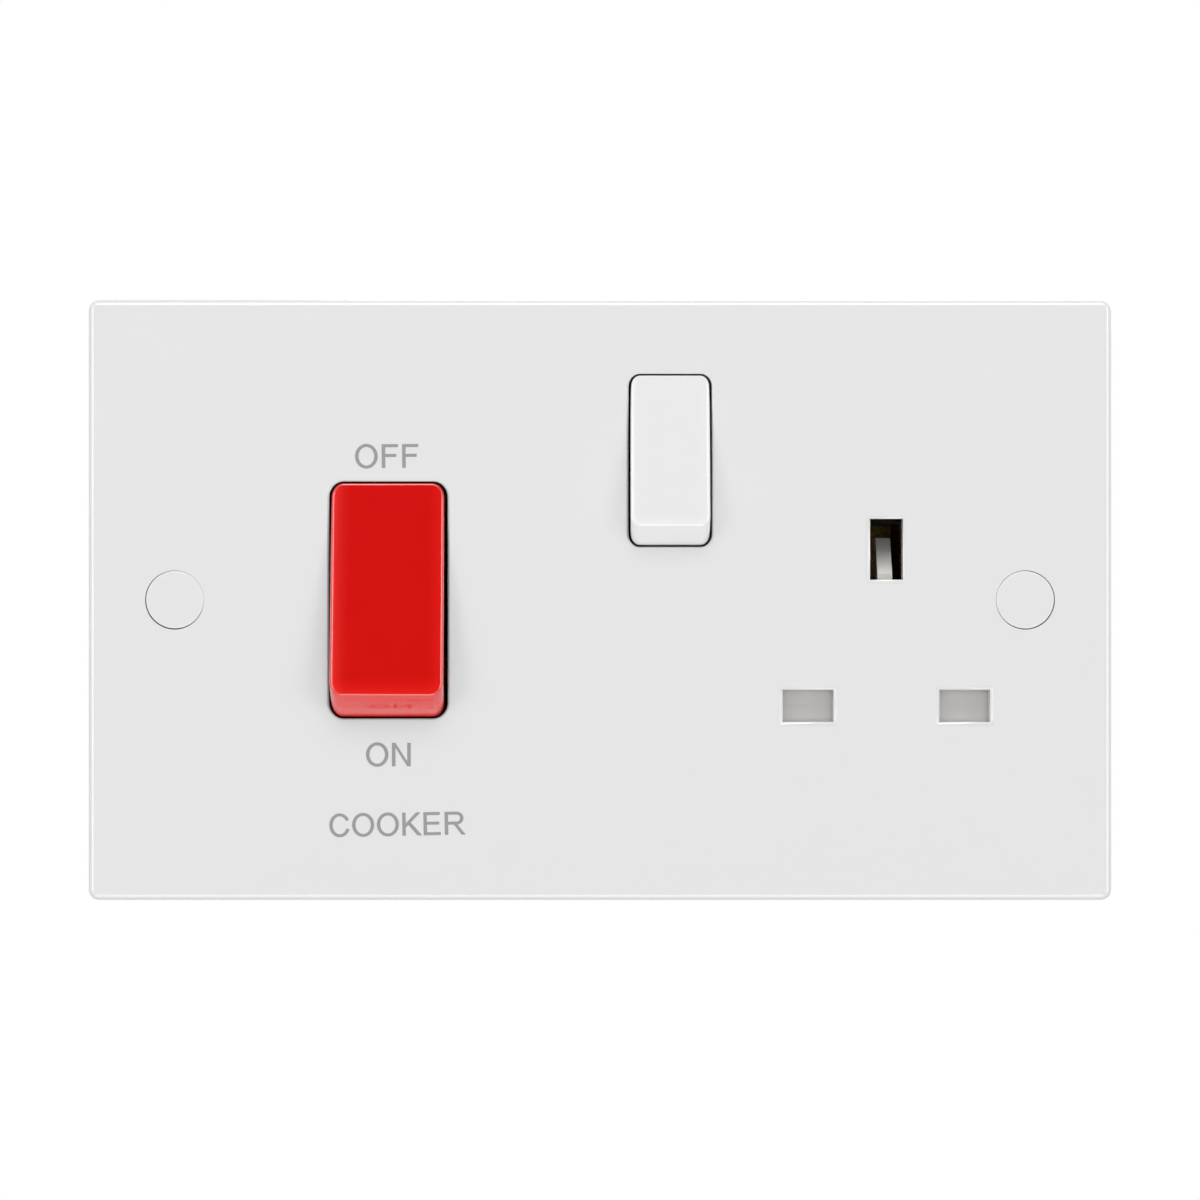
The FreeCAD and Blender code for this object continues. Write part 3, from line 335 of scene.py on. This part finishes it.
def moulded_normals(mesh):
    """Corner normals of a moulding: each corner of a large flat face takes that face's own normal.

    A corner of a rounding takes the normal of the flat face that it runs into, if they are within 30
    degrees, and otherwise the mean of the facets round it. A flat face is all the triangles of one plane,
    if they come to over 25 mm2.
    """
    flat_area = 25 * MM ** 2
    plane_step = 0.05 * MM
    widest = np.radians(30)
    count = len(mesh.polygons)
    facing = np.empty(count * 3, np.float32)
    middle = np.empty(count * 3, np.float32)
    area = np.empty(count, np.float32)
    mesh.polygons.foreach_get("normal", facing)
    mesh.polygons.foreach_get("center", middle)
    mesh.polygons.foreach_get("area", area)
    facing, middle = facing.reshape(-1, 3), middle.reshape(-1, 3)
    offset = (facing * middle).sum(axis=1)
    plane_key = np.round(np.c_[facing * 100, offset[:, None] / plane_step]).astype(np.int64)
    plane = np.unique(plane_key, axis=0, return_inverse=True)[1].ravel()
    flat_face = np.bincount(plane, weights=area)[plane] > flat_area
    corner_count = len(mesh.loops)
    vertex = np.empty(corner_count, np.int32)
    mesh.loops.foreach_get("vertex_index", vertex)
    normals = np.empty(corner_count * 3, np.float32)
    mesh.corner_normals.foreach_get("vector", normals)
    normals = normals.reshape(-1, 3)
    own_facing = np.repeat(facing, 3, axis=0)
    flat_corner = np.repeat(flat_face, 3)
    corner_plane = np.repeat(plane, 3)
    pairs, first = np.unique(np.c_[vertex, corner_plane][flat_corner], axis=0, return_index=True)
    pair_facing = own_facing[flat_corner][first]
    start = np.searchsorted(pairs[:, 0], vertex, side="left")
    stop = np.searchsorted(pairs[:, 0], vertex, side="right")
    nearest = np.full(corner_count, np.cos(widest))
    for rank in range((stop - start).max()):
        pick = np.minimum(start + rank, len(pairs) - 1)
        agreement = np.where(start + rank < stop, (own_facing * pair_facing[pick]).sum(axis=1), -1)
        better = agreement > nearest
        normals[better] = pair_facing[pick[better]]
        nearest[better] = agreement[better]
    normals[flat_corner] = own_facing[flat_corner]
    return normals


def welded_copy(node_name, piece_name, body, material, play=(0.0, 0.0), reshape=None):
    """A moulding's loose triangles welded into one skin, so that its rounded edges shade smoothly.

    Edges flatter than 25 degrees shade as one curve. The copy stands in place of the CAD node, off centre
    to the right and up by its play. A reshape function may work on the welded skin.
    """
    weld_reach = 0.001 * MM
    smooth_angle = np.radians(25)
    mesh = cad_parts[node_name].data.copy()
    mesh.name = piece_name
    mesh.transform(Matrix.Translation((play[0], 0, play[1])))
    weld = bmesh.new()
    weld.from_mesh(mesh)
    bmesh.ops.remove_doubles(weld, verts=weld.verts, dist=weld_reach)
    weld.to_mesh(mesh)
    weld.free()
    if reshape:
        reshape(mesh)
    mesh.shade_smooth()
    mesh.set_sharp_from_angle(angle=smooth_angle)
    mesh.normals_split_custom_set(moulded_normals(mesh))
    mesh.materials.clear()
    mesh.materials.append(material)
    piece = bpy.data.objects.new(piece_name, mesh)
    bpy.context.scene.collection.objects.link(piece)
    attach(piece, body)
    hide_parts(node_name)


white_look = {"tint": (0.768, 0.766, 0.766), "cloud_tint": (0.758, 0.756, 0.756), "gloss": (0.14, 0.20),
              "skin_size": 260.0, "skin_depth": 0.004 * MM, "specular": 0.9}
white_urea, white_shader, white_skin = moulded_material("white_urea", **white_look)
# Painted shade: the plate's narrow gaps and recess walls are painted dark.
paint_gap_shade(white_urea.node_tree, white_shader, white_skin.outputs["Color"], GAP_SHADE_PAINT, closed=0.05,
            clear=0.20)
welded_copy("front_plate", "plate_moulding", "unit", white_urea)
cap_urea = moulded_material("cap_urea", **white_look)[0]
left_cap_play = (0.06 * MM, 0.055 * MM)
right_cap_play = (-0.05 * MM, 0.03 * MM)
welded_copy("left_screw_cap", "left_cap_moulding", "unit", cap_urea, left_cap_play)
welded_copy("right_screw_cap", "right_cap_moulding", "unit", cap_urea, right_cap_play)


# Rockers: hollow urea mouldings on trunnions, red for the cooker switch and white for the socket.
# They come from a polished tool as the plate does, are glossier than it, and their faces roll off
# towards their sides and lower ends. The red one stands a little to the left in its aperture.
TRUNNION_LENGTH = 2.1 * MM


def mesh_points(mesh):
    """A mesh's vertices as an array with a row for each."""
    points = np.empty(len(mesh.vertices) * 3, np.float32)
    mesh.vertices.foreach_get("co", points)
    return points.reshape(-1, 3).astype(float)


def roll_edges(mesh, end_z, roll_width):
    """Rolls a rocker's face off towards its sides and its lower end.

    A point that is the share t of the roll's width into an edge zone goes back along the face's normal by
    slope * width * t^2 / 2, the two zones added. Points go in full down to 1.5 mm behind the face, and
    not at all from 4.5 mm on. The face is first cut into strips that can follow the curve.
    """
    least_ahead = 0.9
    least_agreement = 0.2
    slope = 0.14
    steps = 8
    full_depth = 1.5 * MM
    last_depth = 4.5 * MM
    cut_reach = 0.002 * MM
    front = max(mesh.polygons, key=lambda face: face.area if -face.normal.y > least_ahead else 0)
    normal = front.normal.copy()
    on_face = front.center.copy()
    reach = mesh_points(mesh)[:, 0]
    middle = (reach.min() + reach.max()) / 2
    half_width = (reach.max() - reach.min()) / 2 - TRUNNION_LENGTH
    cuts = []
    for step in range(steps):
        inside = roll_width * (1 - step / steps)
        cuts.append(((middle - half_width + inside, 0, 0), (1, 0, 0)))
        cuts.append(((middle + half_width - inside, 0, 0), (1, 0, 0)))
        cuts.append(((0, 0, end_z + inside), (0, 0, 1)))
    strips = bmesh.new()
    strips.from_mesh(mesh)
    for place, across in cuts:
        faces = [face for face in strips.faces if face.normal.dot(normal) > least_agreement
                 and (on_face - face.calc_center_median()).dot(normal) < full_depth]
        edges = dict.fromkeys(edge for face in faces for edge in face.edges)
        verts = dict.fromkeys(vert for face in faces for vert in face.verts)
        bmesh.ops.bisect_plane(strips, geom=[*verts, *edges, *faces], dist=cut_reach, plane_co=place,
                               plane_no=across)
    bmesh.ops.triangulate(strips, faces=strips.faces[:])
    strips.to_mesh(mesh)
    strips.free()
    points = mesh_points(mesh)
    side = np.clip((abs(points[:, 0] - middle) - half_width + roll_width) / roll_width, 0, 1)
    end = np.clip((end_z + roll_width - points[:, 2]) / roll_width, 0, 1)
    depth = (np.array(on_face) - points) @ np.array(normal)
    share = np.clip((last_depth - depth) / (last_depth - full_depth), 0, 1)
    back = slope * roll_width * (side ** 2 + end ** 2) / 2 * share
    rolled = points - back[:, None] * np.array(normal)
    mesh.vertices.foreach_set("co", rolled.astype(np.float32).ravel())
    mesh.update()


def edge_light_mask_group():
    """How far a place on a rocker's face is into the edge zones, where painted light makes it paler: the
    squares of both ways, up to 1.
    """
    tree = bpy.data.node_groups.new("edge_light_mask", "ShaderNodeTree")
    given, result = group_sockets(
        tree,
        [("Vector", "NodeSocketVector", None), ("Middle", "NodeSocketFloat", 0.0),
         ("Half Width", "NodeSocketFloat", 8.0 * MM), ("Lower End", "NodeSocketFloat", -13.0 * MM),
         ("Roll Width", "NodeSocketFloat", 2.8 * MM)],
        [("Edge", "NodeSocketFloat")])
    place = add_node(tree, "ShaderNodeSeparateXYZ", {"Vector": given.outputs["Vector"]})
    across = add_node(tree, "ShaderNodeMath", {0: place.outputs["X"], 1: given.outputs["Middle"]},
                      operation="SUBTRACT")
    from_middle = add_node(tree, "ShaderNodeMath", {0: across.outputs["Value"]}, operation="ABSOLUTE")
    flat_half = add_node(tree, "ShaderNodeMath", {0: given.outputs["Half Width"],
                         1: given.outputs["Roll Width"]}, operation="SUBTRACT")
    side = add_node(tree, "ShaderNodeMapRange", {"Value": from_middle.outputs["Value"],
                    "From Min": flat_half.outputs["Value"], "From Max": given.outputs["Half Width"]})
    flat_end = add_node(tree, "ShaderNodeMath", {0: given.outputs["Lower End"],
                        1: given.outputs["Roll Width"]}, operation="ADD")
    end = add_node(tree, "ShaderNodeMapRange", {"Value": place.outputs["Z"],
                   "From Min": flat_end.outputs["Value"], "From Max": given.outputs["Lower End"]})
    side_square = add_node(tree, "ShaderNodeMath", {0: side.outputs["Result"], 1: 2.0}, operation="POWER")
    end_square = add_node(tree, "ShaderNodeMath", {0: end.outputs["Result"], 1: 2.0}, operation="POWER")
    both = add_node(tree, "ShaderNodeMath", {0: side_square.outputs["Value"],
                    1: end_square.outputs["Value"]}, operation="ADD")
    edge = add_node(tree, "ShaderNodeMath", {0: both.outputs["Value"], 1: 1.0}, operation="MINIMUM")
    tree.links.new(edge.outputs["Value"], result.inputs["Edge"])
    return tree


edge_light_mask = edge_light_mask_group()


def rocker_material(name, node_name, end_z, roll_width, tint, cloud_tint, edge_light_paint, gap_shade_paint, throw_tint):
    """The plate's plastic with a higher polish, and painted light: a rocker's edges are painted paler, where
    light would come through them.

    The light that the rocker throws on the plate round it has the throw tint. On the red one this is
    greyer than its own colour.
    """
    material, shader, skin = moulded_material(name, tint, cloud_tint, (0.05, 0.08), 300.0, 0.001 * MM,
                                              specular=1.0)
    tree = material.node_tree
    place = add_node(tree, "ShaderNodeTexCoord")
    low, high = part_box(node_name)
    roll = add_node(tree, "ShaderNodeGroup", node_tree=edge_light_mask)
    tree.links.new(place.outputs["Object"], roll.inputs["Vector"])
    roll.inputs["Middle"].default_value = (low.x + high.x) / 2
    roll.inputs["Half Width"].default_value = (high.x - low.x) / 2 - TRUNNION_LENGTH
    roll.inputs["Lower End"].default_value = end_z
    roll.inputs["Roll Width"].default_value = roll_width
    # Painted light: the face is painted paler towards its sides and lower end.
    colour = mixed_colour(tree, roll.outputs["Edge"], skin.outputs["Color"], edge_light_paint)
    rays = add_node(tree, "ShaderNodeLightPath")
    thrown = mixed_colour(tree, rays.outputs["Is Diffuse Ray"], colour, throw_tint)
    # Painted shade: the rocker's walls deep in its gap are painted dark.
    paint_gap_shade(tree, shader, thrown, gap_shade_paint, closed=0.38, clear=0.6)
    shader.inputs["Coat Weight"].default_value = 0.6
    shader.inputs["Coat Roughness"].default_value = 0.04
    return material


cooker_end_z = -13.0 * MM
cooker_roll = 2.8 * MM
cooker_play = (-0.09 * MM, 0)
socket_end_z = 10.9 * MM
socket_roll = 1.6 * MM
# Each rocker's colours, in order: its tint, its cloud tint, a paler edge of painted light, a dark gap of
# painted shade, and the tint of the light it throws.
red_urea = rocker_material("red_urea", "cooker_rocker", cooker_end_z, cooker_roll, (0.68, 0.006, 0.004),
                           (0.61, 0.0035, 0.0025), (0.80, 0.012, 0.008), (0.02, 0.001, 0.001),
                           (0.33, 0.27, 0.27))
white_gloss = rocker_material("white_gloss", "socket_rocker", socket_end_z, socket_roll, (0.82, 0.818, 0.818),
                              (0.81, 0.808, 0.808), (0.86, 0.858, 0.858), GAP_SHADE_PAINT, (0.81, 0.808, 0.808))
welded_copy("cooker_rocker", "cooker_rocker_moulding", "cooker_rocker", red_urea,
            play=cooker_play, reshape=lambda mesh: roll_edges(mesh, cooker_end_z, cooker_roll))
welded_copy("socket_rocker", "socket_rocker_moulding", "socket_rocker", white_gloss,
            reshape=lambda mesh: roll_edges(mesh, socket_end_z, socket_roll))


# Lettering: OFF, ON and COOKER in thin grey sans-serif capitals, pad-printed on the plate round the red
# rocker. The ink is a film some hundredths of a millimetre thick, and OFF and COOKER sit a little off
# square. STEM and ARM are the widths of an upright and of a level stroke, in letter heights.
STEM = 0.152
ARM = 0.129


def ring_stroke(centre, half, start, stop, count):
    """The two edges of a round stroke: points at equal angles on two ellipses about one centre."""
    turn = np.linspace(np.radians(start), np.radians(stop), count)
    on_circle = np.stack([np.cos(turn), np.sin(turn)], axis=1)
    outer = np.array(centre) + on_circle * np.array(half)
    inner = np.array(centre) + on_circle * (np.array(half) - (STEM, ARM))
    return outer, inner


def bar(*corners):
    """The two edges of a straight stroke: its first two corners are one edge, its last two the other."""
    return np.array(corners[:2], float), np.array(corners[2:], float)


def letter_strokes():
    """Each capital as strokes in units of its own height, from its lower left corner, none over another."""
    stem = bar((0, 0), (0, 1), (STEM, 0), (STEM, 1))

    def arm(low, end):
        return bar((STEM, low), (end, low), (STEM, low + ARM), (end, low + ARM))

    bowl_outer, bowl_inner = ring_stroke((0.52, 0.72), (0.30, 0.28), 90, -90, 17)
    bowl = (np.concatenate([[(STEM, 1.0)], bowl_outer, [(STEM, 0.44)]]),
            np.concatenate([[(STEM, 1.0 - ARM)], bowl_inner, [(STEM, 0.44 + ARM)]]))
    return {
        "O": [ring_stroke((0.48, 0.5), (0.48, 0.52), 0, 360, 49)],
        "C": [ring_stroke((0.455, 0.5), (0.455, 0.518), 26.5, 339.5, 45)],
        "F": [stem, arm(1 - ARM, 0.686), arm(0.46, 0.616)],
        "E": [stem, arm(1 - ARM, 0.717), arm(0.456, 0.684), arm(0, 0.747)],
        "N": [stem, bar((0.652, 0), (0.652, 1), (0.652 + STEM, 0), (0.652 + STEM, 1)),
              bar((STEM, 1), (0.652, 0.213), (STEM, 0.787), (0.652, 0))],
        "K": [stem, bar((STEM, 0.531), (0.603, 1), (STEM, 0.345), (0.80, 1)),
              bar((0.262, 0.467), (0.654, 0), (0.367, 0.570), (0.857, 0))],
        "R": [stem, bowl, bar((0.397, 0.44), (0.726, 0), (0.560, 0.44), (0.907, 0))],
    }


def ink_mesh(name, strokes, face_y, film):
    """A printed word: each stroke's two edges, at the face and at the film's top, joined as a closed band.

    Round a stroke's section go four lines, back and front of either edge, carried along the stroke. One
    face closes each end, unless the stroke runs round into itself.
    """
    points, faces, base = [], [], 0
    for edge_a, edge_b in strokes:
        along, across = edge_a[1] - edge_a[0], edge_b[0] - edge_a[0]
        if along[0] * across[1] < along[1] * across[0]:
            edge_a, edge_b = edge_b, edge_a
        closed = bool(np.allclose(edge_a[0], edge_a[-1]))
        count = len(edge_a) - closed
        lines = np.stack([edge_a, edge_a, edge_b, edge_b], axis=1)[:count]
        depth = np.broadcast_to([face_y, face_y - film, face_y - film, face_y], (count, 4))
        points.append(np.stack([lines[..., 0], depth, lines[..., 1]], axis=2).reshape(-1, 3))
        row, around = np.meshgrid(np.arange(count if closed else count - 1), np.arange(4), indexing="ij")
        after, turn = (row + 1) % count, (around + 1) % 4
        quads = np.stack([row * 4 + around, after * 4 + around, after * 4 + turn, row * 4 + turn], axis=2)
        faces += (base + quads.reshape(-1, 4)).tolist()
        if not closed:
            last = base + 4 * (count - 1)
            faces += [[base, base + 1, base + 2, base + 3], [last + 3, last + 2, last + 1, last]]
        base += 4 * count
    mesh = bpy.data.meshes.new(name)
    mesh.from_pydata(np.concatenate(points).tolist(), [], faces)
    return mesh


ink = moulded_material("grey_ink", (0.325, 0.325, 0.32), (0.298, 0.298, 0.293), (0.7, 0.85), 3000.0,
                       0.004 * MM, specular=0.1)[0]
ink_film = 0.03 * MM
face_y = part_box("left_screw_cap")[0].y
alphabet = letter_strokes()
# Each word's piece, letters, height in mm, lower left corner in mm, lean in degrees and letters' starts.
words = [
    ("label_off", "OFF", 3.37, (-34.72, 18.68), 0.45, (0.0, 1.124, 1.982)),
    ("label_on", "ON", 3.33, (-33.18, -23.57), 0.0, (0.0, 1.105)),
    ("label_cooker", "COOKER", 3.27, (-38.35, -33.6), 1.05, (0.0, 0.990, 2.062, 3.166, 4.085, 5.005)),
]
for piece_name, word, height, corner, lean, starts in words:
    turn = np.radians(lean)
    axes = np.array([[np.cos(turn), np.sin(turn)], [-np.sin(turn), np.cos(turn)]])
    strokes = []
    for letter, start in zip(word, starts):
        for edges in alphabet[letter]:
            turned = [(edge + (start, 0.0)) @ axes for edge in edges]
            strokes.append([(np.array(corner) + height * edge) * MM for edge in turned])
    mesh = ink_mesh(piece_name, strokes, face_y, ink_film)
    mesh.materials.append(ink)
    label = bpy.data.objects.new(piece_name, mesh)
    bpy.context.scene.collection.objects.link(label)
    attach(label, "unit")


# Stage: a pale floor well below the unit, soft boxes round it, and a camera square to the plate.
# The backdrop is white to the camera and in reflections, and the room behind the camera is dark.
def backdrop_rays(tree):
    """Shares of 0 or 1: the camera's rays, also through clear pieces, and these with mirrored rays added."""
    path = add_node(tree, "ShaderNodeLightPath")
    lens = add_node(tree, "ShaderNodeMath", {0: path.outputs["Is Camera Ray"],
                    1: path.outputs["Is Transmission Ray"]}, operation="MAXIMUM")
    seen = add_node(tree, "ShaderNodeMath", {0: lens.outputs["Value"], 1: path.outputs["Is Glossy Ray"]},
                    operation="MAXIMUM")
    return lens.outputs["Value"], seen.outputs["Value"]


scene = bpy.context.scene
world = bpy.data.worlds.new("studio")
world.use_nodes = True
scene.world = world
tree = world.node_tree
surround = tree.nodes["Background"]
surround.inputs["Color"].default_value = (1, 1, 1, 1)
surround.inputs["Strength"].default_value = 0.36
dark_side = Vector((0.14, -0.98, 0.14)).normalized()
direction = add_node(tree, "ShaderNodeTexCoord")
towards = add_node(tree, "ShaderNodeVectorMath", {0: direction.outputs["Generated"], 1: dark_side},
                   operation="DOT_PRODUCT")
dark_core = np.cos(np.radians(12))
dark_rim = np.cos(np.radians(50))
room = add_node(tree, "ShaderNodeMapRange", {"Value": towards.outputs["Value"], "From Min": dark_core,
                "From Max": dark_rim, "To Min": 0.02, "To Max": 1.0}, interpolation_type="SMOOTHSTEP")
lens, seen = backdrop_rays(tree)
level = add_node(tree, "ShaderNodeMath", {0: lens, 1: room.outputs["Result"]}, operation="MAXIMUM")
backdrop = add_node(tree, "ShaderNodeBackground", {"Color": (1, 1, 1, 1),
                    "Strength": level.outputs["Value"]})
mixed = add_node(tree, "ShaderNodeMixShader", {0: seen, 1: surround.outputs["Background"],
                 2: backdrop.outputs["Background"]})
tree.links.new(mixed.outputs["Shader"], tree.nodes["World Output"].inputs["Surface"])

floor_half = 2.5
floor_z = -1.2
floor_white_share = 0.7
floor_corners = [(-floor_half, -floor_half, floor_z), (floor_half, -floor_half, floor_z),
                 (floor_half, floor_half, floor_z), (-floor_half, floor_half, floor_z)]
floor_mesh = bpy.data.meshes.new("floor")
floor_mesh.from_pydata(floor_corners, [], [(0, 1, 2, 3)])
floor = bpy.data.objects.new("floor", floor_mesh)
scene.collection.objects.link(floor)
floor_paint, floor_shader = moulded_material("floor_paint", (0.86, 0.86, 0.86), (0.82, 0.82, 0.82),
                                             (0.85, 0.95), 400.0, 0.01 * MM)[:2]
floor_mesh.materials.append(floor_paint)
floor_tree = floor_paint.node_tree
floor_pale = add_node(floor_tree, "ShaderNodeMath", {0: backdrop_rays(floor_tree)[1],
                      1: floor_white_share}, operation="MULTIPLY")
floor_white = add_node(floor_tree, "ShaderNodeEmission", {"Color": (1, 1, 1, 1), "Strength": 1.0})
floor_mixed = add_node(floor_tree, "ShaderNodeMixShader", {0: floor_pale.outputs["Value"],
                       1: floor_shader.outputs["BSDF"], 2: floor_white.outputs["Emission"]})
floor_tree.links.new(floor_mixed.outputs["Shader"], floor_tree.nodes["Material Output"].inputs["Surface"])


def soft_box(name, place, width, height, power):
    """A rectangular soft box that faces the plate's middle."""
    lamp = bpy.data.lights.new(name, "AREA")
    lamp.shape = "RECTANGLE"
    lamp.size, lamp.size_y = width, height
    lamp.energy = power
    holder = bpy.data.objects.new(name, lamp)
    holder.location = place
    holder.rotation_euler = (-Vector(place)).to_track_quat("-Z", "Y").to_euler()
    holder.visible_camera = False
    scene.collection.objects.link(holder)


soft_box("left_light", (-0.95, -0.82, 0.12), 0.5, 0.9, 3.8)
soft_box("right_light", (0.95, -0.82, 0.12), 0.5, 0.9, 3.8)
soft_box("top_light", (0.0, -0.75, 0.95), 0.9, 0.6, 7.0)
soft_box("low_light", (0.0, -0.62, -0.72), 0.9, 0.7, 3.1)
soft_box("back_light", (0.3, 1.0, 0.45), 0.9, 0.6, 7.0)

camera_distance = 0.5
picture_pixels = 1200
pixel_size = 0.14175 * MM
field_width = picture_pixels * pixel_size
camera_data = bpy.data.cameras.new("camera")
camera_data.sensor_width = 36.0
camera_data.lens = camera_data.sensor_width * camera_distance / field_width
camera = bpy.data.objects.new("camera", camera_data)
camera.location = (0.0, face_y - camera_distance, 0.0)
camera.rotation_euler = (np.pi / 2, 0.0, 0.0)
scene.collection.objects.link(camera)
scene.camera = camera
scene.view_settings.view_transform = "Standard"
